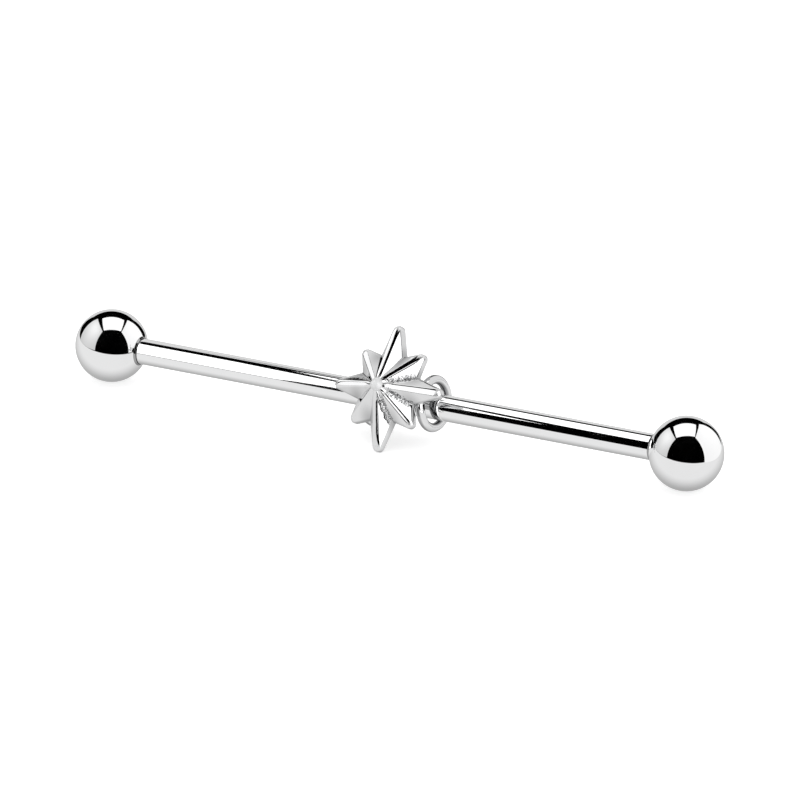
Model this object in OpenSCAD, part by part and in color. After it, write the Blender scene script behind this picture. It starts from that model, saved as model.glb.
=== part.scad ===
// Industrial barbell: a straight bar with a ball screwed on each end, and a
// star charm whose two back loops run loosely on the bar.
// The bar lies along X. It rests on its two balls and on the star's lowest arm.
// The origin is the middle of the bar, on its axis. Millimetres, +Z up.

/* [Bar] */
// Diameter of the bar
bar_d = 1.6; // [1.2:0.1:2.4]
// Clear length of bar between the two balls
bar_len = 35; // [30:0.5:45]
// Length of the small bevel where the bar meets a ball
bevel_len = 0.2; // [0.1:0.05:0.3]
// Depth of that bevel
bevel_depth = 0.1; // [0.05:0.01:0.14]

/* [Balls] */
// Diameter of each ball
ball_d = 4.5; // [3.6:0.1:6]
// Width of the shoulder from the bar's bevel down to the screw spigot
shoulder_w = 0.1; // [0.05:0.01:0.15]
// How far the spigot reaches past the middle of its ball
spigot_reach = 0.6; // [0:0.1:0.8]
// Depth that the bar's shoulder sinks into the mouth of a ball
seat_depth = 0.15; // [0.1:0.05:0.3]
// Radial gap between the bar and the mouth of a ball
mouth_gap = 0.06; // [0.03:0.01:0.12]
// Radial gap between a spigot and its bore
bore_gap = 0.03; // [0.02:0.01:0.08]

/* [Star] */
// Length of the four long arms, from the middle of the star
long_arm = 3.87; // [3.4:0.01:5]
// Length of the four short arms
short_arm = 3.1; // [2.6:0.05:3.4]
// Distance of the notches between the arms from the middle
notch_r = 2.15; // [1.6:0.05:2.4]
// Radius of the rounded arm tips
tip_r = 0.32; // [0.15:0.01:0.4]
// Thickness of the star at its rim
rim_h = 0.45; // [0.3:0.05:0.8]
// Height of the point where the ridges would meet, above the back
ridge_h = 1.87; // [1.2:0.01:2.6]
// Radius of the domed boss in the middle
boss_r = 0.42; // [0.3:0.02:0.6]
// Height of the top of the boss above the back
boss_h = 1.95; // [1.2:0.01:2.8]
// Place of the star along the bar, from the bar's middle
star_x = 0.8; // [-8:0.1:8]

/* [Loops] */
// Diameter of the wire of the two back loops
wire_d = 0.56; // [0.4:0.02:0.8]
// Radial play of a loop round the bar
loop_play = 0.38; // [0.2:0.02:0.6]
// Distance of each loop from the middle of the star, along its level arms
loop_x = 2.1; // [1.6:0.05:2.4]
// Distance of the loops' line below the middle of the star
loop_drop = 0.33; // [0:0.01:0.5]
// Depth that a loop is soldered into the back of the star
solder = 0.05; // [0.03:0.01:0.06]

/* [Hidden] */

steel = [0.80, 0.81, 0.82];
cast_steel = [0.74, 0.75, 0.77];

bar_r = bar_d / 2;
ball_r = ball_d / 2;
neck_r = bar_r - bevel_depth;
spigot_r = neck_r - shoulder_w;
wire_r = wire_d / 2;

// Small clearances and edges
seat_gap = 0.05;
bore_end_gap = 0.2;
spigot_edge = 0.1;
cut = 1;
soft_edge = 0.05;
smooth = 96;

// Places along the bar, from its middle: ball centre, mouth, bevel, shoulder, spigot end
ball_x = bar_len / 2 + ball_r;
mouth_r = bar_r + mouth_gap;
mouth_x = ball_x - sqrt(pow(ball_r, 2) - pow(mouth_r, 2));
bevel_x = mouth_x + bevel_len / 4;
shoulder_x = mouth_x + seat_depth;
spigot_x = ball_x + spigot_reach;

// The star: eight arms, long and short in turn
arms = 8;
arm_step = 360 / arms;
tip_steps = 6;
cone_h = ridge_h - rim_h;

// The loops and how the star lies in them. The bar is off the loops' centres by
// these shares of their play, the other way at each loop: turn_share up and down,
// which turns the star on its own face, and yaw_share in and out, which turns its
// right side forward.
turn_share = 0.33;
yaw_share = 0.77;
loop_r = bar_r + loop_play + wire_r;
loop_back = loop_r + wire_r - solder;
star_turn = asin(turn_share * loop_play / loop_x);
star_yaw = asin(yaw_share * loop_play / loop_x);

// The lean at which the tip of the lowest long arm stands level with the balls' underside
tip_arm = long_arm - tip_r - loop_drop;
tip_drop = tip_arm * cos(star_turn) + tip_r;
tip_behind = loop_back * cos(star_yaw) + tip_arm * sin(star_turn) * sin(star_yaw);
lean = acos(min(1, ball_r / norm([tip_drop, tip_behind]))) - atan2(tip_behind, tip_drop);

function arm_length(i) = i % 2 == 0 ? long_arm : short_arm;

// Direction, off an arm's own line, in which its rounded tip runs into the straight side
function tip_turn(arm) =
    let (notch = notch_r * [cos(arm_step / 2), sin(arm_step / 2)],
         side = notch - [arm - tip_r, 0])
    atan2(side.y, side.x) - acos(tip_r / norm(side));

// One arm's outline: its rounded tip, then the notch after it
function arm_outline(i) =
    let (arm = arm_length(i), turn = tip_turn(arm), at = i * arm_step)
    concat(
        [for (k = [0 : tip_steps])
            let (q = at + turn * (2 * k / tip_steps - 1))
            (arm - tip_r) * [cos(at), sin(at)] + tip_r * [cos(q), sin(q)]],
        [notch_r * [cos(at + arm_step / 2), sin(at + arm_step / 2)]]);

function star_outline() = [for (i = [0 : arms - 1]) each arm_outline(i)];

// The outline at a height, drawn in towards the middle by a scale
function star_ring(outline, scale, z) = [for (p = outline) [p.x * scale, p.y * scale, z]];

// Right half of the bar's profile as radius and place along the bar
function half_profile() = [
    [bar_r, bevel_x - bevel_len],
    [neck_r, bevel_x],
    [neck_r, shoulder_x],
    [spigot_r, shoulder_x],
    [spigot_r, spigot_x - spigot_edge],
    [spigot_r - spigot_edge, spigot_x]];

module along_x() {
    rotate([0, 90, 0]) children();
}

module bar() {
    right = half_profile();
    last = len(right) - 1;
    left = [for (i = [last : -1 : 0]) [right[i].x, -right[i].y]];
    color(steel)
    along_x()
    rotate_extrude($fn = smooth)
        polygon(concat(right, [[0, spigot_x], [0, -spigot_x]], left));
}

// A ball centred on its place at the bar's +X end, with a blind bore and a mouth for the shoulder
module ball() {
    color(steel)
    difference() {
        translate([ball_x, 0, 0]) sphere(r = ball_r, $fn = smooth);
        translate([mouth_x - cut, 0, 0]) along_x()
            cylinder(r = mouth_r, h = cut + seat_depth + seat_gap, $fn = smooth);
        translate([mouth_x, 0, 0]) along_x()
            cylinder(r = spigot_r + bore_gap, h = spigot_x + bore_end_gap - mouth_x, $fn = smooth);
    }
}

module ball_right() {
    ball();
}

module ball_left() {
    mirror([1, 0, 0]) ball();
}

// The star lies on its back, with its long arms along X and Y and its back at z = 0
module star_blade() {
    outline = star_outline();
    n = len(outline);
    soft_h = cone_h * soft_edge;
    rings = [
        star_ring(outline, 1, 0),
        star_ring(outline, 1, rim_h - soft_h),
        star_ring(outline, 1 - soft_edge, rim_h + soft_h)];
    points = concat([for (ring = rings) each ring], [[0, 0, ridge_h]]);
    sides = [for (k = [0 : len(rings) - 2], i = [0 : n - 1])
        let (a = k * n + i, b = k * n + (i + 1) % n)
        each [[a, a + n, b], [b, a + n, b + n]]];
    top = (len(rings) - 1) * n;
    facets = [for (i = [0 : n - 1]) [top + i, len(points) - 1, top + (i + 1) % n]];
    polyhedron(points, concat([[for (i = [0 : n - 1]) i]], sides, facets));
}

module boss() {
    translate([0, 0, boss_h - boss_r]) sphere(r = boss_r, $fn = smooth / 2);
}

module loop() {
    along_x()
    rotate_extrude($fn = smooth)
        translate([loop_r, 0]) circle(r = wire_r, $fn = smooth / 4);
}

// Moves the star from its back onto the bar, leaning back and turned in its loops' play
module on_bar() {
    translate([star_x, 0, 0])
    rotate([90 - lean, 0, 0])
    rotate([0, -star_yaw, 0])
    rotate([0, 0, star_turn])
    translate([0, loop_drop, loop_back])
        children();
}

module star_charm() {
    color(cast_steel)
    on_bar()
    union() {
        star_blade();
        boss();
        for (side = [-1, 1])
            translate([side * loop_x, -loop_drop, -loop_back]) loop();
    }
}

bar();
ball_left();
ball_right();
star_charm();
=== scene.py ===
"""Looks for an industrial barbell: a polished bar, two screwed-on balls and a cast star charm.

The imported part's frame is kept: +X runs along the bar, +Z is up, and the origin is
the middle of the bar, on its axis. Sizes below are in millimetres.
"""

import logging
import math
from dataclasses import dataclass
from enum import Enum
from typing import Callable, Sequence

import bmesh
import bpy
from mathutils import Matrix, Vector


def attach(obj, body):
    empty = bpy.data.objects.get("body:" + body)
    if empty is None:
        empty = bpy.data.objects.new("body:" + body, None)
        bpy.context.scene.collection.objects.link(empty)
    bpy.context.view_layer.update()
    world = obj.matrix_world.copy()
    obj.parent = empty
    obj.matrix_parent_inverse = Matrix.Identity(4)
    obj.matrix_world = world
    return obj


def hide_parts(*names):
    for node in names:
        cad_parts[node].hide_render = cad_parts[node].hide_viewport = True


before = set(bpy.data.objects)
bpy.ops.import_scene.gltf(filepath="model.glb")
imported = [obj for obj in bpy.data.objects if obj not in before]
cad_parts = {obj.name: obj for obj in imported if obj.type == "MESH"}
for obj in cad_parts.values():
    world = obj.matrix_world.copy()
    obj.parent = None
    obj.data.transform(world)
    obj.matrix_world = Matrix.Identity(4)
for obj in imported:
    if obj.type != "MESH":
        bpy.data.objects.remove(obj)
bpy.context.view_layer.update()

MM = 0.001
LOG = logging.getLogger("barbell")
Socket = bpy.types.NodeSocket

# Metres within which two places are the same, and within which they are near each other
SAME = 1e-7
NEAR = 1e-6
# Share of a whole length, or of a straight normal, past which it counts as the whole
MOST = 0.9
# The middle of what a noise gives
NOISE_MIDDLE = 0.5
# Watts per square metre with which an area light looks as bright as an emission of 1
LIGHT_WATTS = 4.0


class Body(Enum):
    """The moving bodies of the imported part."""

    BAR = "bar"
    LEFT_END = "left_end"
    RIGHT_END = "right_end"
    STAR = "star"


class Slot(Enum):
    """The record's material slots."""

    POLISHED = "polished_steel"
    CAST = "cast_steel"


class Part(Enum):
    """What an edit-mode pick selects."""

    VERTS = "VERT"
    EDGES = "EDGE"
    FACES = "FACE"


class End(Enum):
    """The two ends of the bar, as directions along X."""

    LEFT = -1
    RIGHT = 1


# Hand tools


def clear_selection() -> None:
    """Leaves edit mode and deselects every object."""
    if bpy.context.object is not None and bpy.context.object.mode != "OBJECT":
        bpy.ops.object.mode_set(mode="OBJECT")
    bpy.ops.object.select_all(action="DESELECT")


def take(piece: bpy.types.Object) -> None:
    """Selects one piece alone and makes it active.

    Args:
        piece: The piece to work on.
    """
    clear_selection()
    piece.select_set(True)
    bpy.context.view_layer.objects.active = piece


def edit(piece: bpy.types.Object) -> None:
    """Opens a piece in edit mode with nothing selected.

    Args:
        piece: The piece to edit.
    """
    take(piece)
    bpy.ops.object.mode_set(mode="EDIT")
    bpy.ops.mesh.select_all(action="DESELECT")


def leave_edit() -> None:
    """Goes back to object mode."""
    bpy.ops.object.mode_set(mode="OBJECT")


def pick(piece: bpy.types.Object, part: Part, test: Callable[..., bool]) -> None:
    """Selects, in edit mode, only the parts of a mesh that pass a test.

    Args:
        piece: The piece being edited.
        part: Whether vertices, edges or faces are tested.
        test: Takes one bmesh vertex, edge or face.
    """
    bpy.ops.mesh.select_mode(type=part.value)
    bpy.ops.mesh.select_all(action="DESELECT")
    mesh = bmesh.from_edit_mesh(piece.data)
    found = {Part.VERTS: mesh.verts, Part.EDGES: mesh.edges, Part.FACES: mesh.faces}[part]
    for chosen in [one for one in found if test(one)]:
        chosen.select_set(True)
    mesh.select_flush_mode()
    bmesh.update_edit_mesh(piece.data)


def middle(edge: bmesh.types.BMEdge) -> Vector:
    """The middle point of an edge."""
    return (edge.verts[0].co + edge.verts[1].co) / 2


def settle(piece: bpy.types.Object) -> None:
    """Applies a piece's place, turn and scale to its mesh."""
    take(piece)
    bpy.ops.object.transform_apply(location=True, rotation=True, scale=True)


def extrude_step(move: Vector, scale: Sequence[float], centre: Vector) -> None:
    """Extrudes the selection, moves it and scales it about a centre.

    Args:
        move: How far the new part is moved, in metres.
        scale: Factors along X, Y and Z.
        centre: The point that the scaling keeps still.
    """
    bpy.ops.mesh.extrude_region_move(TRANSFORM_OT_translate={"value": tuple(move)})
    if any(not math.isclose(factor, 1) for factor in scale):
        bpy.ops.transform.resize(value=tuple(scale), center_override=tuple(centre))


def extrude_along_bar(start: tuple[float, float], steps: Sequence[tuple[float, float]],
                      way: int = 1) -> None:
    """Draws the selection out along X, through the steps of a round profile.

    Args:
        start: Radius of the selection and its place along the bar, in millimetres.
        steps: Radius and place of each step.
        way: 1 where the places are along +X, -1 where they are along -X.
    """
    radius, x = start
    for next_radius, next_x in steps:
        grow = next_radius / radius
        move = Vector((way * (next_x - x) * MM, 0, 0))
        extrude_step(move, (1, grow, grow), Vector((way * next_x * MM, 0, 0)))
        radius, x = next_radius, next_x


def apply_modifier(piece: bpy.types.Object, kind: str, **settings: object) -> None:
    """Adds one modifier to a piece and applies it.

    Args:
        piece: The piece to change.
        kind: Blender's name of the modifier's type.
        settings: Values for the modifier's own properties.
    """
    take(piece)
    modifier = piece.modifiers.new(kind.lower(), kind)
    for key, value in settings.items():
        setattr(modifier, key, value)
    bpy.ops.object.modifier_apply(modifier=modifier.name)


def make_sound(piece: bpy.types.Object) -> None:
    """Merges doubles and turns all faces outwards.

    Args:
        piece: The piece to mend.
    """
    edit(piece)
    bpy.ops.mesh.select_all(action="SELECT")
    bpy.ops.mesh.remove_doubles(threshold=SAME)
    bpy.ops.mesh.normals_make_consistent(inside=False)
    leave_edit()


def smooth(piece: bpy.types.Object, angle: float) -> None:
    """Shades a piece smooth up to an angle, with wide faces kept flat.

    Args:
        piece: The piece to shade.
        angle: Edges sharper than this, in degrees, stay sharp.
    """
    take(piece)
    bpy.ops.object.shade_smooth_by_angle(angle=math.radians(angle))
    apply_modifier(piece, "WEIGHTED_NORMAL", mode="FACE_AREA", weight=50, keep_sharp=True)


# Finishes


class Curve(Enum):
    """How a ramp runs between its two ends."""

    STRAIGHT = "LINEAR"
    SOFT = "SMOOTHSTEP"


class Nodes:
    """A short way to build a material's or the world's node tree."""

    def __init__(self, tree: bpy.types.NodeTree) -> None:
        """Empties the tree.

        Args:
            tree: The node tree to build in.
        """
        self.tree = tree
        tree.nodes.clear()

    def add(self, kind: str, label: str = "", **settings: object) -> bpy.types.Node:
        """Adds a node and sets its properties.

        Args:
            kind: The node's type, such as ShaderNodeMath.
            label: A name that says what the node is for.
            settings: Values for the node's own properties.

        Returns:
            The new node.
        """
        node = self.tree.nodes.new(kind)
        node.label = label
        for key, value in settings.items():
            setattr(node, key, value)
        return node

    def link(self, source: Socket, target: Socket) -> None:
        """Links one socket to another."""
        self.tree.links.new(source, target)

    def feed(self, target: Socket, value: object) -> None:
        """Links a socket, or sets a plain value, whichever was given.

        Args:
            target: The input.
            value: A socket, or a value for the input.
        """
        if isinstance(value, Socket):
            self.link(value, target)
        else:
            target.default_value = value

    def surface(self, kind: str) -> bpy.types.Node:
        """Adds the shader that the material shows.

        Args:
            kind: The shader node's type.

        Returns:
            The shader, linked to the material's output.
        """
        shader = self.add(kind)
        self.link(shader.outputs[0], self.add("ShaderNodeOutputMaterial").inputs["Surface"])
        return shader

    def math(self, operation: str, *values: object, label: str = "") -> Socket:
        """Adds a Math node.

        Args:
            operation: Blender's name of the operation.
            values: Numbers or sockets for its inputs.
            label: A name that says what the node is for.

        Returns:
            Its output socket.
        """
        node = self.add("ShaderNodeMath", label, operation=operation)
        for i, value in enumerate(values):
            self.feed(node.inputs[i], value)
        return node.outputs[0]

    def length(self, first: Socket, second: Socket, label: str = "") -> Socket:
        """Finds how far a point lies from the middle of a plane.

        Args:
            first: Its place along one axis of the plane.
            second: Its place along the other.
            label: A name that says what the distance is.

        Returns:
            The distance's socket.
        """
        squares = [self.math("MULTIPLY", one, one) for one in (first, second)]
        return self.math("SQRT", self.math("ADD", *squares), label=label)

    def ramp(self, value: object, low: float, high: float, out_low: float, out_high: float,
             label: str = "", curve: Curve = Curve.SOFT) -> Socket:
        """Adds a Map Range node.

        Args:
            value: The number or socket to map.
            low: Input that gives out_low.
            high: Input that gives out_high.
            out_low: Output at low.
            out_high: Output at high.
            label: A name that says what the node is for.
            curve: How it runs between them.

        Returns:
            Its output socket.
        """
        node = self.add("ShaderNodeMapRange", label, interpolation_type=curve.value)
        for i, one in enumerate((value, low, high, out_low, out_high)):
            self.feed(node.inputs[i], one)
        return node.outputs[0]

    def mix(self, share: Socket, first: object, second: object, label: str) -> Socket:
        """Mixes two colours.

        Args:
            share: How much of the second colour shows.
            first: A colour, or the socket of one.
            second: The other colour.
            label: A name that says what the node is for.

        Returns:
            The mixed colour's socket.
        """
        node = self.add("ShaderNodeMix", label, data_type="RGBA")
        for name, value in (("Factor", share), ("A", first), ("B", second)):
            self.feed(node.inputs[name], value)
        return node.outputs["Result"]

    def noise(self, place: Socket, scale: float, label: str, detail: float) -> Socket:
        """Adds a Noise Texture.

        Args:
            place: The coordinates it reads.
            scale: How fine it is, per unit of those coordinates.
            label: A name that says what the node is for.
            detail: How many finer layers it has.

        Returns:
            Its factor socket.
        """
        node = self.add("ShaderNodeTexNoise", label)
        self.link(place, node.inputs["Vector"])
        node.inputs["Scale"].default_value = scale
        node.inputs["Detail"].default_value = detail
        return node.outputs["Fac"]

    def bump(self, shader: bpy.types.Node, height: Socket, distance: float, label: str) -> None:
        """Gives a shader a relief.

        Args:
            shader: The shader.
            height: How high the relief stands.
            distance: Metres that a height of 1 stands for.
            label: A name that says what the node is for.
        """
        node = self.add("ShaderNodeBump", label)
        node.inputs["Strength"].default_value = 1.0
        node.inputs["Distance"].default_value = distance
        self.link(height, node.inputs["Height"])
        self.link(node.outputs["Normal"], shader.inputs["Normal"])

    def place(self, scale: Sequence[float], frame_of: Matrix = Matrix.Identity(4)) -> Socket:
        """Object coordinates, read in a piece's own frame.

        Args:
            scale: Size of one unit along each axis, in metres.
            frame_of: Where the piece's own frame lies.

        Returns:
            The coordinates' socket.
        """
        coordinates = self.add("ShaderNodeTexCoord")
        mapping = self.add("ShaderNodeMapping", vector_type="TEXTURE")
        mapping.inputs["Location"].default_value = frame_of.translation
        mapping.inputs["Rotation"].default_value = frame_of.to_euler()
        mapping.inputs["Scale"].default_value = scale
        self.link(coordinates.outputs["Object"], mapping.inputs["Vector"])
        return mapping.outputs["Vector"]

    def split(self, place: Socket) -> tuple[Socket, ...]:
        """Takes coordinates apart.

        Args:
            place: The coordinates.

        Returns:
            The sockets of x, y and z.
        """
        node = self.add("ShaderNodeSeparateXYZ")
        self.link(place, node.inputs[0])
        return tuple(node.outputs)


def start_material(name: str) -> tuple[bpy.types.Material, Nodes]:
    """Makes a material without any nodes yet.

    Args:
        name: The material's name.

    Returns:
        The material and its node tree.
    """
    material = bpy.data.materials.new(name)
    material.use_nodes = True
    return material, Nodes(material.node_tree)


@dataclass(frozen=True)
class PolishedSteel:
    """Mirror-polished surgical steel, with the faint bloom and hairlines of a polish that has seen wear,
    and shade painted darker into its joints.

    The gloss is the least and the most roughness. gloss_bloom and tone_bloom are the
    stretches of the bloom's noise over which the gloss and the tone change.
    """

    name: str = "polished_steel"
    tint: tuple[float, float, float] = (0.955, 0.957, 0.96)
    gloss: tuple[float, float] = (0.018, 0.05)
    gloss_bloom: tuple[float, float] = (0.35, 0.7)
    tone_bloom: tuple[float, float] = (0.4, 0.8)
    bloom_tone: float = 0.985
    bloom_per_mm: float = 0.6
    hairline_size: tuple[float, float, float] = (2.5, 0.09, 0.09)
    hairline_mm: float = 0.00012
    joint_x: float = 17.51
    joint_r: float = 0.9
    neck_x: float = 17.74
    joint_end_x: float = 21.0
    # The joints' tint share is painted shade, darker where the bar enters a ball
    joint_shade_tone: float = 0.42
    joint_rough: float = 0.22
    joint_edge: float = 0.02
    side_edge: float = 0.015
    end_edge: float = 0.1

    def material(self) -> bpy.types.Material:
        """Builds the material.

        Returns:
            The finished material.
        """
        material, nodes = start_material(self.name)
        shader = nodes.surface("ShaderNodeBsdfPrincipled")
        shader.inputs["Metallic"].default_value = 1.0

        local = nodes.place([MM] * 3)
        bloom = nodes.noise(local, self.bloom_per_mm, "bloom of the polish", detail=3)
        gloss = nodes.ramp(bloom, *self.gloss_bloom, *self.gloss)
        neck = self._unpolished_and_shaded(nodes, local, self.neck_x)
        machined = nodes.math("MULTIPLY", neck, self.joint_rough, label="machined")
        nodes.link(nodes.math("MAXIMUM", gloss, machined), shader.inputs["Roughness"])

        bloomed = (*(part * self.bloom_tone for part in self.tint), 1)
        # Painted shade: the joints' tint is darkened where the bar enters a ball
        joint_shade_tint = (*(part * self.joint_shade_tone for part in self.tint), 1)
        clouds = nodes.ramp(bloom, *self.tone_bloom, 0.0, 1.0)
        polish = nodes.mix(clouds, (*self.tint, 1), bloomed, "bloom in the tone")
        joint = self._unpolished_and_shaded(nodes, local, self.joint_x)
        tone = nodes.mix(joint, polish, joint_shade_tint, "painted_shade in the joint")
        nodes.link(tone, shader.inputs["Base Color"])

        brushed = nodes.place([MM * size for size in self.hairline_size])
        lines = nodes.noise(brushed, 1.0, "hairlines along the bar", detail=4)
        nodes.bump(shader, lines, self.hairline_mm * MM, "hairlines")
        return material

    def _unpolished_and_shaded(self, nodes: Nodes, local: Socket, from_x: float) -> Socket:
        """Marks the mouths, necks, spigots and bores: the machined metal that no polishing wheel reaches
        is rougher, and the joint is darkened as painted shade.

        Args:
            nodes: The material's nodes.
            local: Coordinates in millimetres.
            from_x: Where it begins, from the bar's middle.

        Returns:
            A socket that is 1 in the joints and 0 elsewhere.
        """
        x, y, z = nodes.split(local)
        along = nodes.math("ABSOLUTE", x, label="from the bar's middle")
        off = nodes.length(y, z, "off the bar's axis")
        beyond = nodes.ramp(along, from_x, from_x + self.joint_edge, 0.0, 1.0)
        inside = nodes.ramp(off, self.joint_r, self.joint_r + self.side_edge, 1.0, 0.0)
        before = nodes.ramp(along, self.joint_end_x, self.joint_end_x + self.end_edge, 1.0, 0.0)
        return nodes.math("MULTIPLY", nodes.math("MULTIPLY", beyond, inside), before, label="joint")


@dataclass(frozen=True)
class StarPlace:
    """A place on the star, as sockets: the angle is in radians, the rest in millimetres."""

    whole: Socket
    y: Socket
    z: Socket
    around: Socket
    out: Socket

    @classmethod
    def read(cls, nodes: Nodes, star_frame: Matrix) -> "StarPlace":
        """Reads a place in the star's own frame, its back at z = 0.

        Args:
            nodes: The material's nodes.
            star_frame: Where the star's own frame lies.

        Returns:
            The place.
        """
        whole = nodes.place([MM] * 3, star_frame)
        x, y, z = nodes.split(whole)
        around = nodes.math("ARCTAN2", y, x, label="way round the star")
        return cls(whole, y, z, around, nodes.length(x, y, "off the middle"))


@dataclass(frozen=True)
class CastSteel:
    """Cast and tumbled steel: bright ridges and facets, black grain left in some valleys, painted shade in
    the notches and dark reflections painted at the wire's edges.

    The gloss is the least and the most roughness of the facets. Any other pair is the
    stretch over which something changes: of a noise in pits and gloss_wear, of a cosine
    in grain_side, and of millimetres in the rest. The wire's pairs are measured from the
    middle of its loop, and tip_edge from an arm's end.
    """

    charm: "StarCharm"
    name: str = "cast_steel"
    tint: tuple[float, float, float] = (0.85, 0.852, 0.855)
    # The dark tint of the real pits, also used as painted shade in the notches
    pits_and_shade: tuple[float, float, float] = (0.13, 0.132, 0.136)
    pits: tuple[float, float] = (0.42, 0.56)
    wire: tuple[float, float, float] = (0.88, 0.882, 0.886)
    # Darker tint painted at the wire's edges as dark reflections
    wire_reflected_dark: tuple[float, float, float] = (0.26, 0.262, 0.268)
    wire_inside: tuple[float, float] = (1.23, 1.38)
    wire_outside: tuple[float, float] = (1.69, 1.74)
    wire_rim: float = 0.25
    back_edge: tuple[float, float] = (-0.06, -0.02)
    gloss: tuple[float, float] = (0.03, 0.07)
    gloss_wear: tuple[float, float] = (0.35, 0.7)
    wear_per_mm: float = 2.6
    rough: float = 0.28
    boss_rough: float = 0.66
    boss_edge: tuple[float, float] = (0.4, 0.5)
    tip_rough: float = 0.3
    tip_edge: tuple[float, float] = (-0.4, -0.26)
    # Painted shade in the notches between the arms
    notch_shade: float = 0.42
    notch_reach: float = 0.85
    notch_stretch: float = 0.8
    swell_mm: float = 0.0025
    swell_per_mm: float = 1.1
    grain_mm: float = 0.045
    grain_per_mm: float = 11.0
    grain_way: float = -20.0
    grain_side: tuple[float, float] = (0.35, 0.8)
    grain_least: float = 0.06
    grain_near: tuple[float, float] = (0.1, 0.26)
    grain_clear: tuple[float, float] = (0.55, 0.95)
    grain_top: tuple[float, float] = (0.45, 0.55)
    ragged_mm: float = 0.25
    ragged_per_mm: float = 4.0

    def material(self) -> bpy.types.Material:
        """Builds the material.

        Returns:
            The finished material.
        """
        material, nodes = start_material(self.name)
        shader = nodes.surface("ShaderNodeBsdfPrincipled")
        shader.inputs["Metallic"].default_value = 1.0

        at = StarPlace.read(nodes, self.charm.place())
        grainy = self._valleys(nodes, at)
        fine = nodes.noise(at.whole, self.grain_per_mm, "casting grain", detail=4)
        swell = nodes.noise(at.whole, self.swell_per_mm, "swell of the tumbled facets", detail=2)
        wear = nodes.noise(at.whole, self.wear_per_mm, "tumbling wear", detail=4)

        specks = nodes.math("MULTIPLY", grainy, nodes.ramp(fine, *self.pits, 0.0, 1.0), label="pits")
        # Real pits, and painted shade round the notches, darken the tint
        dark = nodes.math("MAXIMUM", specks, self._painted_notch_shade(nodes, at))
        star = nodes.mix(dark, (*self.tint, 1), (*self.pits_and_shade, 1), "darker in pits and notches")
        # Painted dark reflections at the wire's inner and outer edges
        lit_band = self._wire_lit_band(nodes, at)
        wire = nodes.mix(lit_band, (*self.wire_reflected_dark, 1), (*self.wire, 1), "painted_dark_reflection at the wire's edges")
        behind = nodes.ramp(at.z, *self.back_edge, 1.0, 0.0, label="behind the back")
        tone = nodes.mix(behind, star, wire, "wire or star")
        nodes.link(tone, shader.inputs["Base Color"])

        gloss = nodes.ramp(wear, *self.gloss_wear, *self.gloss, label="tumbled gloss")
        dome = nodes.ramp(at.out, *self.boss_edge, 1.0, 0.0, label="dome")
        matt = nodes.math("MULTIPLY", dome, self.boss_rough, label="matt boss")
        cast = nodes.math("MULTIPLY", grainy, self.rough)
        tips = nodes.math("MULTIPLY", self._tips(nodes, at), self.tip_rough, label="tumbled tips")
        rough = nodes.math("MAXIMUM", nodes.math("MAXIMUM", matt, cast), tips)
        nodes.link(nodes.math("MAXIMUM", gloss, rough), shader.inputs["Roughness"])

        grain = nodes.math("MULTIPLY", nodes.math("MULTIPLY", fine, grainy), self.grain_mm * MM)
        waves = nodes.math("MULTIPLY", swell, self.swell_mm * MM)
        height = nodes.math("ADD", grain, waves, label="relief in metres")
        nodes.bump(shader, height, 1.0, "cast relief")
        return material

    def _off_valley(self, nodes: Nodes, at: StarPlace) -> Socket:
        """Finds how far a place lies from the middle of its valley between two arms.

        Args:
            nodes: The material's nodes.
            at: The place.

        Returns:
            The distance, in millimetres.
        """
        half_step = math.pi / self.charm.arms
        turns = nodes.math("DIVIDE", at.around, half_step)
        share = nodes.math("SUBTRACT", 1.0, nodes.math("PINGPONG", turns, 1.0))
        return nodes.math("MULTIPLY", nodes.math("MULTIPLY", at.out, half_step), share,
                          label="off the valley")

    def _painted_notch_shade(self, nodes: Nodes, at: StarPlace) -> Socket:
        """Marks the soft shade painted round each notch between two arms.

        Args:
            nodes: The material's nodes.
            at: The place.

        Returns:
            A socket that is highest in the notches and 0 on the facets.
        """
        beyond = nodes.math("SUBTRACT", at.out, self.charm.notch_r)
        along = nodes.math("MULTIPLY", beyond, self.notch_stretch)
        off = nodes.length(self._off_valley(nodes, at), along, "off the notch")
        return nodes.ramp(off, 0.0, self.notch_reach, self.notch_shade, 0.0, "shade in the notch")

    def _tips(self, nodes: Nodes, at: StarPlace) -> Socket:
        """Marks the tips of the arms, which tumbling wore softest.

        Args:
            nodes: The material's nodes.
            at: The place.

        Returns:
            A socket that is 1 on the tips and 0 elsewhere.
        """
        # The cosine of twice the angle is 1 or -1 on the long arms and 0 on the short ones
        twice = nodes.math("MULTIPLY", at.around, 2.0)
        share = nodes.math("ABSOLUTE", nodes.math("COSINE", twice), label="long or short arm")
        shorter = self.charm.short_arm
        more = nodes.math("MULTIPLY", share, self.charm.long_arm - shorter)
        past = nodes.math("SUBTRACT", at.out, nodes.math("ADD", more, shorter))
        return nodes.ramp(past, *self.tip_edge, 0.0, 1.0, "tips")

    def _wire_lit_band(self, nodes: Nodes, at: StarPlace) -> Socket:
        """Marks the wire's bright band, between its inner and outer edges, where dark reflections are
        painted.

        Args:
            nodes: The material's nodes.
            at: The place.

        Returns:
            A socket that is 1 on the bright band of each loop.
        """
        y = nodes.math("ADD", at.y, self.charm.loop_drop)
        z = nodes.math("ADD", at.z, self.charm.loop_back)
        off = nodes.length(y, z, "off the loop's middle")
        inner = nodes.ramp(off, *self.wire_inside, 0.0, 1.0)
        outer = nodes.ramp(off, *self.wire_outside, 1.0, self.wire_rim)
        return nodes.math("MULTIPLY", inner, outer, label="bright band")

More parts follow.
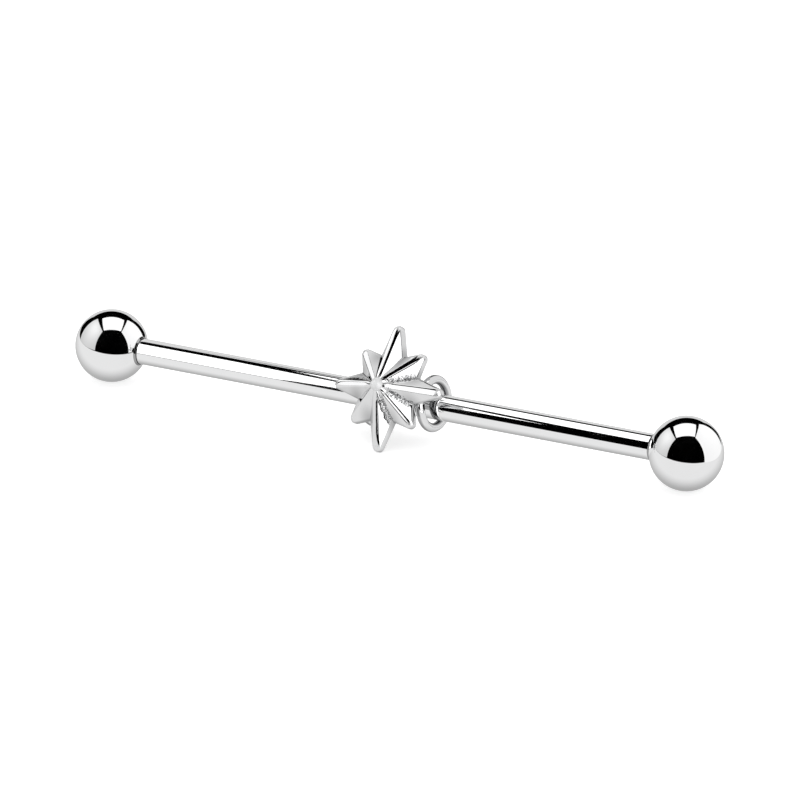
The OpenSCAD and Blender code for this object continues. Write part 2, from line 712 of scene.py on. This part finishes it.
    def _valleys(self, nodes: Nodes, at: StarPlace) -> Socket:
        """Marks the valleys between the arms that kept their casting grain.

        Args:
            nodes: The material's nodes.
            at: The place.

        Returns:
            A socket that is 1 in the grainiest valleys and 0 on the facets.
        """
        ragged = nodes.noise(at.whole, self.ragged_per_mm, "ragged edge of the grain", detail=3)
        stray = nodes.math("MULTIPLY", nodes.math("SUBTRACT", ragged, NOISE_MIDDLE), self.ragged_mm)
        off = nodes.math("ADD", self._off_valley(nodes, at), stray)
        near = nodes.ramp(off, *self.grain_near, 1.0, 0.0, "near a valley")
        turned = nodes.math("SUBTRACT", at.around, math.radians(self.grain_way))
        side = nodes.ramp(nodes.math("COSINE", turned), *self.grain_side, self.grain_least, 1.0,
                          "grainy side of the star")
        clear = nodes.ramp(at.out, *self.grain_clear, 0.0, 1.0, "clear of the boss")
        top = nodes.ramp(at.z, *self.grain_top, 0.0, 1.0, "top only")
        return nodes.math("MULTIPLY", nodes.math("MULTIPLY", near, side),
                          nodes.math("MULTIPLY", clear, top))


# Pieces


@dataclass
class Bar:
    """The straight bar, with a bevel, a neck and a screw spigot at each end.

    It begins as a drum that is shorter than the plain stretch, by drum_short at each end.
    """

    radius: float = 0.8
    bevel_len: float = 0.2
    neck_r: float = 0.7
    spigot_r: float = 0.6
    bevel_x: float = 17.721
    shoulder_x: float = 17.821
    spigot_x: float = 20.35
    spigot_edge: float = 0.1
    drum_short: float = 0.3
    soft_edge: float = 0.02
    soft_angle: float = 20.0
    sharp_angle: float = 24.0
    sides: int = 160

    def build(self) -> bpy.types.Object:
        """Models the bar from a drum, end by end.

        Returns:
            The bar, in place.
        """
        clear_selection()
        half = self.bevel_x - self.bevel_len - self.drum_short
        bpy.ops.mesh.primitive_cylinder_add(
            vertices=self.sides, radius=self.radius * MM, depth=2 * half * MM,
            rotation=(0, math.pi / 2, 0))
        bar = bpy.context.object
        bar.name = "polished_bar"
        settle(bar)
        edit(bar)
        for end in End:
            self._draw_out(bar, end, half)
        leave_edit()
        apply_modifier(bar, "BEVEL", width=self.soft_edge * MM, segments=3, limit_method="ANGLE",
                       angle_limit=math.radians(self.soft_angle), harden_normals=False)
        make_sound(bar)
        smooth(bar, self.sharp_angle)
        return bar

    def _draw_out(self, bar: bpy.types.Object, end: End, half: float) -> None:
        """Extrudes one end of the bar through its bevel, neck and spigot.

        Args:
            bar: The bar being edited.
            end: Which end.
            half: Where the plain drum stops.
        """
        pick(bar, Part.FACES, lambda face: face.normal.x * end.value > MOST)
        steps = [
            (self.radius, self.bevel_x - self.bevel_len),
            (self.neck_r, self.bevel_x),
            (self.neck_r, self.shoulder_x),
            (self.spigot_r, self.shoulder_x),
            (self.spigot_r, self.spigot_x - self.spigot_edge),
            (self.spigot_r - self.spigot_edge, self.spigot_x)]
        extrude_along_bar((self.radius, half), steps, end.value)

    def dress(self, bar: bpy.types.Object, finish: bpy.types.Material) -> None:
        """Gives the bar its finish and its place in the frame.

        Args:
            bar: The bar.
            finish: Its material.
        """
        bar.data.materials.append(finish)
        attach(bar, Body.BAR.value)
        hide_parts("bar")


@dataclass
class Ball:
    """A ball screwed on one end of the bar, with a chamfered collar, a mouth and a blind bore.

    wall_edge and lip_edge say how far an edge goes across the bar and along it.
    """

    end: End
    radius: float = 2.25
    middle_x: float = 19.75
    collar_r: float = 0.89
    collar_front_x: float = 17.57
    mouth_r: float = 0.815
    mouth_end_x: float = 17.871
    bore_r: float = 0.63
    bore_end_x: float = 20.55
    wall_len: float = 0.02
    wall_edge: tuple[float, float] = (0.006, 0.012)
    lip_edge: tuple[float, float] = (0.022, 0.006)
    lip_w: float = 0.012
    mouth_edge: float = 0.008
    drill_share: float = 0.3
    drill_len: float = 0.12
    sharp_angle: float = 24.0
    segments: int = 192
    rings: int = 96

    def build(self) -> bpy.types.Object:
        """Models the ball at the bar's +X end, then turns it to its own end.

        Returns:
            The ball, in place.
        """
        clear_selection()
        bpy.ops.mesh.primitive_uv_sphere_add(
            segments=self.segments, ring_count=self.rings, radius=self.radius * MM,
            location=(self.middle_x * MM, 0, 0), rotation=(0, math.pi / 2, 0))
        ball = bpy.context.object
        ball.name = f"polished_ball_{self.end.name.lower()}"
        settle(ball)
        root_x = self.middle_x - math.sqrt(self.radius**2 - self.collar_r**2)
        edit(ball)
        bpy.ops.mesh.select_all(action="SELECT")
        bpy.ops.mesh.bisect(
            plane_co=(root_x * MM, 0, 0), plane_no=(1, 0, 0), clear_inner=True, threshold=1e-8)
        pick(ball, Part.EDGES, lambda edge: edge.is_boundary)
        extrude_along_bar((self.collar_r, root_x), self._mouth_profile(root_x))
        bpy.ops.mesh.edge_face_add()
        leave_edit()
        make_sound(ball)
        smooth(ball, self.sharp_angle)
        if self.end is End.LEFT:
            ball.rotation_euler = (0, 0, math.pi)
            settle(ball)
        return ball

    def _mouth_profile(self, root_x: float) -> list[tuple[float, float]]:
        """The collar's chamfer and rounded edge, then the mouth and the bore, from outside in.

        Args:
            root_x: Where the collar stands on the ball.

        Returns:
            Radius and place along the bar of each step.
        """
        front, wall_x = self.collar_front_x, root_x - self.wall_len
        edge_in, edge_out = self.wall_edge
        lip_out, lip_back = self.lip_edge
        return [
            (self.collar_r, wall_x),
            (self.collar_r - edge_in, wall_x - edge_out),
            (self.mouth_r + lip_out, front + lip_back),
            (self.mouth_r + self.lip_w, front),
            (self.mouth_r, front + self.mouth_edge),
            (self.mouth_r, self.mouth_end_x),
            (self.bore_r, self.mouth_end_x),
            (self.bore_r, self.bore_end_x),
            (self.drill_share * self.bore_r, self.bore_end_x + self.drill_len)]

    def dress(self, ball: bpy.types.Object, finish: bpy.types.Material) -> None:
        """Gives the ball its finish and its place in the frame.

        Args:
            ball: The ball.
            finish: Its material.
        """
        ball.data.materials.append(finish)
        left = self.end is End.LEFT
        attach(ball, (Body.LEFT_END if left else Body.RIGHT_END).value)
        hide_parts("ball_left" if left else "ball_right")


@dataclass
class StarCharm:
    """The cast star with eight ridged arms, its domed boss and its two soldered loops.

    crest_r holds the least round of the ridges and what a ring's scale adds to it.
    turn_share and yaw_share are shares of the loops' play that the star has taken up.
    """

    long_arm: float = 3.87
    short_arm: float = 3.1
    notch_r: float = 2.15
    notch_soft: float = 0.07
    tip_r: float = 0.32
    crest_r: tuple[float, float] = (0.16, 0.12)
    crest_scale: float = 0.9
    rim_soft: float = 0.09
    rim_rings: int = 6
    top_scales: tuple[float, ...] = (0.84, 0.75, 0.6, 0.45, 0.33, 0.24, 0.17, 0.12, 0.08, 0.05)
    back_soft: float = 0.05
    rim_h: float = 0.45
    wall_h: float = 0.3
    ridge_h: float = 1.87
    boss_r: float = 0.42
    boss_h: float = 1.95
    star_x: float = 0.8
    bar_r: float = 0.8
    ball_r: float = 2.25
    wire_r: float = 0.28
    loop_play: float = 0.38
    loop_x: float = 2.1
    loop_drop: float = 0.33
    solder: float = 0.05
    bead_r: float = 0.4
    bead_h: float = 0.02
    bead_squash: tuple[float, float, float] = (0.9, 1.1, 0.45)
    turn_share: float = 0.33
    yaw_share: float = 0.77
    sharp_angle: float = 30.0
    arms: int = 8
    tip_segments: int = 20

    @property
    def loop_r(self) -> float:
        """Radius of a loop's wire centre."""
        return self.bar_r + self.loop_play + self.wire_r

    @property
    def loop_back(self) -> float:
        """Distance from the star's back to the loops' centres."""
        return self.loop_r + self.wire_r - self.solder

    def place(self) -> Matrix:
        """Where the star's own frame lies: leaning on the bar and turned in its loops' play.

        Returns:
            The matrix that takes the star from its back onto the bar, in metres.
        """
        turn = math.asin(self.turn_share * self.loop_play / self.loop_x)
        yaw = math.asin(self.yaw_share * self.loop_play / self.loop_x)
        arm = self.long_arm - self.tip_r - self.loop_drop
        drop = arm * math.cos(turn) + self.tip_r
        behind = self.loop_back * math.cos(yaw) + arm * math.sin(turn) * math.sin(yaw)
        lean = math.acos(self.ball_r / math.hypot(drop, behind)) - math.atan2(behind, drop)
        return (Matrix.Translation((self.star_x * MM, 0, 0))
                @ Matrix.Rotation(math.pi / 2 - lean, 4, "X")
                @ Matrix.Rotation(-yaw, 4, "Y")
                @ Matrix.Rotation(turn, 4, "Z")
                @ Matrix.Translation((0, self.loop_drop * MM, self.loop_back * MM)))

    def build(self) -> bpy.types.Object:
        """Models the blade, boss, loops and solder, and fuses them.

        Returns:
            The star, in place.
        """
        star = self._blade()
        extras = [self._boss()]
        for side in (-1, 1):
            extras += [self._loop(side), self._solder_bead(side)]
        for extra in extras:
            apply_modifier(star, "BOOLEAN", operation="UNION", solver="EXACT", object=extra)
            bpy.data.objects.remove(extra)
        make_sound(star)
        star.matrix_world = self.place()
        settle(star)
        smooth(star, self.sharp_angle)
        return star

    def _arm_reach(self, arm: float) -> tuple[float, float]:
        """Where an arm's straight sides would meet, and how far back its round tip begins.

        Args:
            arm: Length of the arm to its rounded tip.

        Returns:
            The reach from the star's middle, and the bevel's width along the side.
        """
        half = math.pi / self.arms
        notch = Vector((self.notch_r * math.cos(half), self.notch_r * math.sin(half)))
        back = Vector((arm - self.tip_r - notch.x, notch.y))
        side = math.atan2(back.y, back.x) - math.asin(self.tip_r / back.length)
        return arm - self.tip_r + self.tip_r / math.sin(side), self.tip_r / math.tan(side)

    def _blade(self) -> bpy.types.Object:
        """Pulls a sixteen-sided drum out into arms, rounds them and draws the top up to a point.

        Returns:
            The star without its boss and loops, on its back.
        """
        clear_selection()
        bpy.ops.mesh.primitive_cylinder_add(
            vertices=2 * self.arms, radius=self.notch_r * MM, depth=self.wall_h * MM,
            location=(0, 0, self.wall_h / 2 * MM))
        blade = bpy.context.object
        blade.name = "cast_star"
        settle(blade)
        step = 2 * math.pi / self.arms

        def on_arm(point: Vector, odd: int) -> bool:
            """Whether a point stands on a long arm's line (0) or a short one's (1)."""
            turns = math.atan2(point.y, point.x) / step
            return math.isclose(turns, round(turns), abs_tol=0.01) and round(turns) % 2 == odd

        def upright(edge: bmesh.types.BMEdge) -> bool:
            """Whether an edge runs up the wall."""
            return abs(edge.verts[0].co.z - edge.verts[1].co.z) > MOST * self.wall_h * MM

        edit(blade)
        for odd, arm in ((0, self.long_arm), (1, self.short_arm)):
            reach, width = self._arm_reach(arm)
            pick(blade, Part.VERTS, lambda vert: on_arm(vert.co, odd))
            grow = reach / self.notch_r
            bpy.ops.transform.resize(value=(grow, grow, 1), center_override=(0, 0, 0))
            pick(blade, Part.EDGES, lambda edge: on_arm(middle(edge), odd) and upright(edge))
            bpy.ops.mesh.bevel(offset=width * MM, segments=self.tip_segments, affect="EDGES")
        # A bevel leaves the tips longer and more pointed than true arcs
        for height in (0.0, self.wall_h):
            self._round_ring(blade, height, 1.0, self.tip_r)
        pick(blade, Part.EDGES, lambda edge: upright(edge)
             and abs(middle(edge).xy.length - self.notch_r * MM) < NEAR)
        bpy.ops.mesh.bevel(offset=self.notch_soft * MM, segments=3, affect="EDGES")

        pick(blade, Part.FACES, lambda face: face.normal.z > MOST)
        scale, height = 1.0, self.wall_h
        for next_scale, next_height in self._top_profile():
            grow = next_scale / scale
            rise = Vector((0, 0, (next_height - height) * MM))
            extrude_step(rise, (grow, grow, 1), Vector((0, 0, 0)))
            scale, height = next_scale, next_height
            self._round_ring(blade, height, scale, self._crest(scale))
        bpy.ops.mesh.poke()
        pick(blade, Part.VERTS,
             lambda vert: vert.co.xy.length < SAME and vert.co.z > self.rim_h * MM)
        bpy.ops.transform.translate(value=(0, 0, (self.ridge_h - height) * MM))
        pick(blade, Part.EDGES, lambda edge: all(abs(vert.co.z) < SAME for vert in edge.verts))
        bpy.ops.mesh.bevel(offset=self.back_soft * MM, segments=3, affect="EDGES")
        leave_edit()
        return blade

    def _round_ring(self, blade: bpy.types.Object, height: float, scale: float, radius: float) -> None:
        """Puts the round of every arm, in one ring of the star, on a true arc with evenly spread points.

        Args:
            blade: The star being edited.
            height: Height of the ring.
            scale: Scale of the ring's outline.
            radius: Radius that the arms' tips get in this ring, if their sides are long enough for it.
        """
        mesh = bmesh.from_edit_mesh(blade.data)
        step = 2 * math.pi / self.arms
        ring = [vert for vert in mesh.verts
                if abs(vert.co.z - height * MM) < SAME and vert.co.xy.length > NEAR]
        for i in range(self.arms):
            arm = self.short_arm if i % 2 else self.long_arm
            reach, _ = self._arm_reach(arm)
            side = math.asin(self.tip_r / (reach - arm + self.tip_r))
            notch_y = self.notch_r * math.sin(step / 2)
            round_r = min(radius, MOST * scale * notch_y / math.cos(side))
            centre = scale * reach - round_r / math.sin(side)
            turned = Matrix.Rotation(-i * step, 3, "Z")

            def across(vert: bmesh.types.BMVert) -> float:
                """How far a point lies to the arm's left."""
                return (turned @ vert.co).y

            def off_line(vert: bmesh.types.BMVert) -> float:
                """Angle between a point and the arm's line."""
                return abs(math.atan2(across(vert), (turned @ vert.co).x))

            tip = sorted(sorted(ring, key=off_line)[:self.tip_segments + 1], key=across)
            for place, vert in enumerate(tip):
                angle = (math.pi / 2 - side) * (2 * place / (len(tip) - 1) - 1)
                out = centre + round_r * math.cos(angle)
                vert.co = turned.inverted() @ (Vector((out, round_r * math.sin(angle), height)) * MM)
        bmesh.update_edit_mesh(blade.data)

    def _crest(self, scale: float) -> float:
        """Radius of the ridges' round in a ring of the top, wide at the tips and even along the arms.

        Args:
            scale: Scale of the ring's outline.

        Returns:
            The radius.
        """
        if scale > self.crest_scale:
            return self.tip_r * scale
        least, more = self.crest_r
        return least + more * scale

    def _top_profile(self) -> list[tuple[float, float]]:
        """The top's rings: a soft edge from the upright rim, then straight up towards the point.

        Returns:
            Scale of the outline and height of each ring.
        """
        slope = self.ridge_h - self.rim_h
        top = self.rim_h + slope * self.rim_soft
        edge = []
        for ring in range(1, self.rim_rings + 1):
            share = ring / self.rim_rings
            rest = 1 - share
            height = self.wall_h * rest * rest + 2 * self.rim_h * share * rest + top * share * share
            edge.append((1 - self.rim_soft * share * share, height))
        return edge + [(scale, self.ridge_h - slope * scale) for scale in self.top_scales]

    def _boss(self) -> bpy.types.Object:
        """The dome in the middle: a small ball sunk where the ridges meet.

        Returns:
            The boss, on the star that lies on its back.
        """
        clear_selection()
        bpy.ops.mesh.primitive_uv_sphere_add(
            segments=64, ring_count=32, radius=self.boss_r * MM,
            location=(0, 0, (self.boss_h - self.boss_r) * MM))
        boss = bpy.context.object
        settle(boss)
        return boss

    def _loop(self, side: int) -> bpy.types.Object:
        """One wire loop behind the star.

        Args:
            side: -1 for the left loop, 1 for the right one.

        Returns:
            The loop.
        """
        clear_selection()
        bpy.ops.mesh.primitive_torus_add(
            major_radius=self.loop_r * MM, minor_radius=self.wire_r * MM,
            major_segments=128, minor_segments=32, rotation=(0, math.pi / 2, 0),
            location=(side * self.loop_x * MM, -self.loop_drop * MM, -self.loop_back * MM))
        loop = bpy.context.object
        settle(loop)
        return loop

    def _solder_bead(self, side: int) -> bpy.types.Object:
        """The low bead of solder that holds a loop to the star's back.

        Args:
            side: -1 for the left loop, 1 for the right one.

        Returns:
            The bead.
        """
        clear_selection()
        bpy.ops.mesh.primitive_uv_sphere_add(
            segments=48, ring_count=24, radius=self.bead_r * MM,
            location=(side * self.loop_x * MM, -self.loop_drop * MM, self.bead_h * MM))
        bead = bpy.context.object
        bead.scale = self.bead_squash
        settle(bead)
        return bead

    def dress(self, star: bpy.types.Object, finish: bpy.types.Material) -> None:
        """Gives the star its finish and its place in the frame.

        Args:
            star: The star.
            finish: Its material.
        """
        star.data.materials.append(finish)
        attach(star, Body.STAR.value)
        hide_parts("star_charm")


# Studio


@dataclass(frozen=True)
class Viewpoint:
    """Where the picture is taken from, as turns about the object in degrees."""

    turn: float = 28.737
    rise: float = 21.283
    roll: float = -0.619
    distance: float = 450.0
    lens: float = 335.45
    aim: tuple[float, float, float] = (0.4478, 0.0, -0.0237)

    def studio_point(self, right: float, toward: float, up: float) -> Vector:
        """A place in the studio, which is laid out by the camera's level directions.

        Args:
            right: Millimetres to the camera's right.
            toward: Millimetres towards the camera, level.
            up: Millimetres up.

        Returns:
            The place in the part's frame, in metres.
        """
        turn = math.radians(self.turn)
        return Vector((right * math.cos(turn) + toward * math.sin(turn),
                       right * math.sin(turn) - toward * math.cos(turn), up)) * MM

    def direction(self, turn: float, height: float) -> Vector:
        """A direction seen from the object.

        Args:
            turn: Turn off the camera, in degrees.
            height: Height above the level, in degrees.

        Returns:
            The direction in the part's frame.
        """
        turn, height = math.radians(turn), math.radians(height)
        level = math.cos(height)
        return self.studio_point(math.sin(turn) * level, math.cos(turn) * level, math.sin(height)) / MM

    def camera(self) -> None:
        """Sets up the scene's camera."""
        clear_selection()
        bpy.ops.object.camera_add()
        camera = bpy.context.object
        camera.name = "camera"
        camera.data.lens = self.lens
        camera.data.sensor_width = 36.0
        camera.data.clip_start = 0.01
        camera.data.clip_end = 20.0
        back = self.direction(0, self.rise)
        level = self.direction(90, 0)
        upright = back.cross(level)
        roll = math.radians(self.roll)
        right = math.cos(roll) * level + math.sin(roll) * upright
        up = math.cos(roll) * upright - math.sin(roll) * level
        turn = Matrix((right, up, back)).transposed().to_4x4()
        place = Vector(self.aim) * MM + back * self.distance * MM
        camera.matrix_world = Matrix.Translation(place) @ turn
        bpy.context.scene.camera = camera


@dataclass(frozen=True)
class SoftPanel:
    """A glowing studio panel, given by its four corners as right, toward and up in millimetres.

    Its glow is at the heart, a share of the way along its two edges, and fades to
    the rim's at the reach. The pieces named in dark_to receive none of it.
    """

    name: str
    corners: tuple[tuple[float, float, float], ...]
    glow: float
    rim_glow: float
    heart: tuple[float, float] = (0.5, 0.5)
    reach: float = 0.9
    dark_to: tuple[str, ...] = ()

    def build(self, view: Viewpoint, receivers: Sequence[bpy.types.Object]) -> None:
        """Hangs the panel in the studio, out of the camera's sight.

        Args:
            view: The viewpoint that the studio is laid out by.
            receivers: Everything that can receive its light.
        """
        clear_selection()
        bpy.ops.mesh.primitive_plane_add(size=1)
        panel = bpy.context.object
        panel.name = self.name
        # The new plane's corners go row by row, and the panel's go round
        order = (0, 1, 3, 2)
        for vertex, corner in zip(panel.data.vertices, order):
            vertex.co = view.studio_point(*self.corners[corner])
        material, nodes = start_material(self.name)
        emission = nodes.surface("ShaderNodeEmission")
        coordinates = nodes.add("ShaderNodeTexCoord")
        mapping = nodes.add("ShaderNodeMapping", vector_type="TEXTURE")
        mapping.inputs["Location"].default_value = (*self.heart, 0)
        mapping.inputs["Scale"].default_value = [self.reach] * 3
        falloff = nodes.add("ShaderNodeTexGradient", gradient_type="SPHERICAL")
        nodes.link(coordinates.outputs["UV"], mapping.inputs["Vector"])
        nodes.link(mapping.outputs["Vector"], falloff.inputs["Vector"])
        glow = nodes.ramp(falloff.outputs["Fac"], 0, 1, self.rim_glow, self.glow)
        nodes.link(glow, emission.inputs["Strength"])
        panel.data.materials.append(material)
        panel.visible_camera = False
        panel.visible_shadow = False
        if self.dark_to:
            panel.light_linking.receiver_collection = gather(
                f"{self.name}_only", [r for r in receivers if r.name not in self.dark_to])


@dataclass(frozen=True)
class SoftBox:
    """A soft rectangular light that only some pieces receive.

    It is given by one corner and its two edges, as right, toward and up in millimetres.
    """

    name: str
    corner: tuple[float, float, float]
    first: tuple[float, float, float]
    second: tuple[float, float, float]
    glow: float

    @classmethod
    def seen_at(cls, name: str, turns: tuple[float, float], heights: tuple[float, float],
                glow: float, distance: float = 300.0) -> "SoftBox":
        """A box given by the directions off the camera that it covers.

        Args:
            name: The light's name.
            turns: Turn off the camera of its two sides, in degrees.
            heights: Height of its foot and head, in degrees.
            glow: How bright it looks.
            distance: How far off it hangs.

        Returns:
            The box.
        """
        turn, height = (math.radians(sum(pair) / 2) for pair in (turns, heights))
        wide, tall = (math.radians(pair[1] - pair[0]) for pair in (turns, heights))
        ahead = Vector((math.sin(turn), math.cos(turn), 0))
        out = ahead * math.cos(height) + Vector((0, 0, math.sin(height)))
        level = Vector((math.cos(turn), -math.sin(turn), 0))
        upright = Vector((0, 0, math.cos(height))) - ahead * math.sin(height)
        first = level * 2 * distance * math.tan(wide / 2) * math.cos(height)
        second = upright * 2 * distance * math.tan(tall / 2)
        corner = out * distance - (first + second) / 2
        return cls(name, tuple(corner), tuple(first), tuple(second), glow)

    def build(self, view: Viewpoint, only: bpy.types.Collection) -> None:
        """Hangs the light, facing the object.

        Args:
            view: The viewpoint that the studio is laid out by.
            only: The collection that receives this light.
        """
        corner, first, second = (
            view.studio_point(*one) for one in (self.corner, self.first, self.second))
        centre = corner + (first + second) / 2
        if first.cross(second).dot(centre) < 0:
            first, second = second, first
        clear_selection()
        bpy.ops.object.light_add(type="AREA")
        light = bpy.context.object
        light.name = self.name
        light.data.shape = "RECTANGLE"
        light.data.size, light.data.size_y = first.length, second.length
        light.data.energy = self.glow * LIGHT_WATTS * first.length * second.length
        x, y = first.normalized(), second.normalized()
        turn = Matrix((x, y, x.cross(y))).transposed().to_4x4()
        light.matrix_world = Matrix.Translation(centre) @ turn
        light.visible_camera = False
        light.light_linking.receiver_collection = only


def gather(name: str, members: Sequence[bpy.types.Object]) -> bpy.types.Collection:
    """Puts objects in a collection of their own for light linking.

    Args:
        name: The collection's name.
        members: The objects.

    Returns:
        The collection.
    """
    group = bpy.data.collections.new(name)
    for member in members:
        group.objects.link(member)
    return group


@dataclass(frozen=True)
class Studio:
    """The pale floor, the soft panels and lights, and the room that the mirrors show.

    The room's floor has the object's shadow painted on it, darker below and behind the object, and ends
    along a slanting line.
    """

    floor_z: float = -2.25
    floor_size: float = 8.0
    floor_tone: float = 0.92
    floor_glow: float = 0.4
    room_white: float = 1.12
    room_tone: float = 0.826
    room_edge_right: float = 0.10
    room_edge_toward: float = 0.02
    room_edge_drop: float = 0.11
    room_edge_soft: float = 0.012
    shade_way: tuple[float, float] = (180, -50)
    shade_from: float = 0.342
    shade_power: float = 1.5
    shade: float = 0.416
    panels: tuple[SoftPanel, ...] = (
        SoftPanel("left_panel", ((-175, -104, 0), (-150, 94, 0), (-138.5, 87, 248), (-180, -240, 248)),
                  0.97, 0.64, (0.5, 0.62), 0.75, ("polished_bar", "cast_star")),
        SoftPanel("right_panel", ((110, 80, -25), (125, -115, -25), (137, -198, 198), (106, 69, 198)),
                  1.08, 0.93, (0.6, 0.5), 0.9, ("cast_star",)),
        SoftPanel("top_panel", ((-104, 64, 220), (107, 64, 220), (110, -152, 220), (-104, -152, 220)),
                  1.1, 1.06, dark_to=("polished_bar", "cast_star")),
        SoftPanel("back_panel", ((-150, -300, -60), (150, -300, -60), (150, -300, 108), (-150, -300, 108)),
                  0.7, 0.62),
    )
    charm_lights: tuple[SoftBox, ...] = (
        SoftBox.seen_at("charm_front", (1, 70), (-12, 64), 1.45),
        SoftBox.seen_at("charm_fill", (-60, -22), (3, 57), 1.0),
        SoftBox.seen_at("charm_left", (-120, -62), (0, 52), 0.9, 100),
        SoftBox.seen_at("charm_left_back", (-139, -120), (8, 50), 0.9, 100),
        SoftBox.seen_at("charm_right", (78, 150), (-10, 60), 0.6, 90),
        SoftBox.seen_at("charm_back", (-185, -146), (21, 48), 0.62, 180),
        SoftBox("charm_crown", (-75, -55, 195), (215, 0, 0), (0, 68, 0), 0.92),
        SoftBox("charm_crown_back", (-90, -175, 195), (150, 0, 0), (0, 120, 0), 0.62),
    )
    bar_lights: tuple[SoftBox, ...] = (
        SoftBox("bar_top_front", (-141, 58, 197), (34, -67, 0), (107, 54, 0), 1.2),
        SoftBox("bar_top_side", (-107, -9, 197), (35, -92, 0), (112, 43, 0), 1.2),
        SoftBox("bar_top_back", (-72, -101, 197), (35, -38, 0), (66, 61, 0), 1.2),
        SoftBox("bar_left", (-140, 8, 2), (0, 78, 0), (0, 0, 128), 1.2),
        SoftBox("bar_left_high", (-140, 86, 130), (0, -50, 67), (0, -80, -60), 1.2),
        SoftBox("bar_left_top", (-140, 36, 197), (0, -90, 64), (0, -70, -98), 1.2),
        SoftBox("bar_back", (-150, -230, 83), (300, 0, 0), (0, 0, 103), 0.58),
        SoftBox("bar_back_high", (-150, -230, 186), (100, 0, 0), (0, 0, 95), 0.58),
    )

    def build(self, view: Viewpoint, bar: bpy.types.Object, star: bpy.types.Object,
              balls: Sequence[bpy.types.Object]) -> None:
        """Lays the floor, hangs the panels and lights and sets the surroundings.

        Args:
            view: The viewpoint that the studio is laid out by.
            bar: The bar, which has lights of its own.
            star: The star, which has lights of its own.
            balls: The two balls.
        """
        floor = self._floor()
        for panel in self.panels:
            panel.build(view, [bar, star, *balls, floor])
        charm_only, bar_only = gather("charm_only", [star]), gather("bar_only", [bar])
        for light in self.charm_lights:
            light.build(view, charm_only)
        for light in self.bar_lights:
            light.build(view, bar_only)
        self._surroundings(view)
        scene = bpy.context.scene
        scene.view_settings.view_transform = "Standard"
        scene.view_settings.look = "None"

    def _floor(self) -> bpy.types.Object:
        """Lays the pale floor under the balls.

        Returns:
            The floor.
        """
        clear_selection()
        bpy.ops.mesh.primitive_plane_add(size=self.floor_size, location=(0, 0, self.floor_z * MM))
        floor = bpy.context.object
        floor.name = "floor"
        settle(floor)
        material, nodes = start_material("pale_floor")
        shader = nodes.surface("ShaderNodeBsdfPrincipled")
        shader.inputs["Base Color"].default_value = (
            self.floor_tone, self.floor_tone, self.floor_tone, 1)
        shader.inputs["Roughness"].default_value = 1.0
        shader.inputs["Specular IOR Level"].default_value = 0.0
        shader.inputs["Emission Color"].default_value = (1, 1, 1, 1)
        shader.inputs["Emission Strength"].default_value = self.floor_glow
        floor.data.materials.append(material)
        floor.visible_glossy = False
        return floor

    def _surroundings(self, view: Viewpoint) -> None:
        """Sets the world: white to the eye, and in mirrors a dark room over a pale grey floor.

        Args:
            view: The viewpoint that the studio is laid out by.
        """
        world = bpy.data.worlds.new("studio")
        bpy.context.scene.world = world
        world.use_nodes = True
        nodes = Nodes(world.node_tree)
        way = nodes.add("ShaderNodeTexCoord").outputs["Generated"]

        def along(direction: Vector, label: str) -> Socket:
            """Finds how far the looked-at direction lies along another.

            Args:
                direction: The other direction.
                label: A name that says what the node is for.

            Returns:
                The socket of their dot product.
            """
            node = nodes.add("ShaderNodeVectorMath", label, operation="DOT_PRODUCT")
            nodes.link(way, node.inputs[0])
            node.inputs[1].default_value = direction
            return node.outputs["Value"]

        right, toward, up = view.direction(90, 0), view.direction(0, 0), Vector((0, 0, 1))
        tilt = right * self.room_edge_right + toward * self.room_edge_toward + up
        above = nodes.math("ADD", along(tilt, "over the floor's edge"), self.room_edge_drop)
        floor = nodes.ramp(above, -self.room_edge_soft, self.room_edge_soft, 1.0, 0.0, "floor")
        # Painted shadow of the object on the mirrored floor, below and behind it
        under = nodes.ramp(along(view.direction(*self.shade_way), "under the object"),
                           self.shade_from, 1.0, 0.0, 1.0, curve=Curve.STRAIGHT)
        dark = nodes.math("MULTIPLY", nodes.math("POWER", under, self.shade_power), self.shade)
        tone = nodes.math("SUBTRACT", self.room_tone, dark)
        mirrored = nodes.math("MULTIPLY", floor, tone, label="what mirrors see")

        path = nodes.add("ShaderNodeLightPath")
        shown = nodes.add("ShaderNodeMix", "to the eye or in a mirror", data_type="FLOAT")
        nodes.link(path.outputs["Is Glossy Ray"], shown.inputs["Factor"])
        shown.inputs["A"].default_value = self.room_white
        nodes.link(mirrored, shown.inputs["B"])
        background = nodes.add("ShaderNodeBackground")
        background.inputs["Color"].default_value = (1, 1, 1, 1)
        output = nodes.add("ShaderNodeOutputWorld")
        nodes.link(shown.outputs["Result"], background.inputs["Strength"])
        nodes.link(background.outputs["Background"], output.inputs["Surface"])


def report(piece: bpy.types.Object) -> None:
    """Logs a finished piece's name and size."""
    LOG.info("%s: %d faces, %s mm", piece.name, len(piece.data.polygons),
             " x ".join(f"{side / MM:.2f}" for side in piece.dimensions))


def main() -> None:
    """Builds and dresses the barbell, then its studio."""
    logging.basicConfig(level=logging.INFO, format="%(name)s: %(message)s")
    view = Viewpoint()
    polished = PolishedSteel().material()

    bar = Bar()
    shaft = bar.build()
    bar.dress(shaft, polished)
    report(shaft)

    spheres = []
    for end in End:
        ball = Ball(end)
        sphere = ball.build()
        ball.dress(sphere, polished)
        report(sphere)
        spheres.append(sphere)

    charm = StarCharm()
    star = charm.build()
    charm.dress(star, CastSteel(charm).material())
    report(star)

    Studio().build(view, shaft, star, spheres)
    view.camera()


if __name__ == "__main__":
    main()
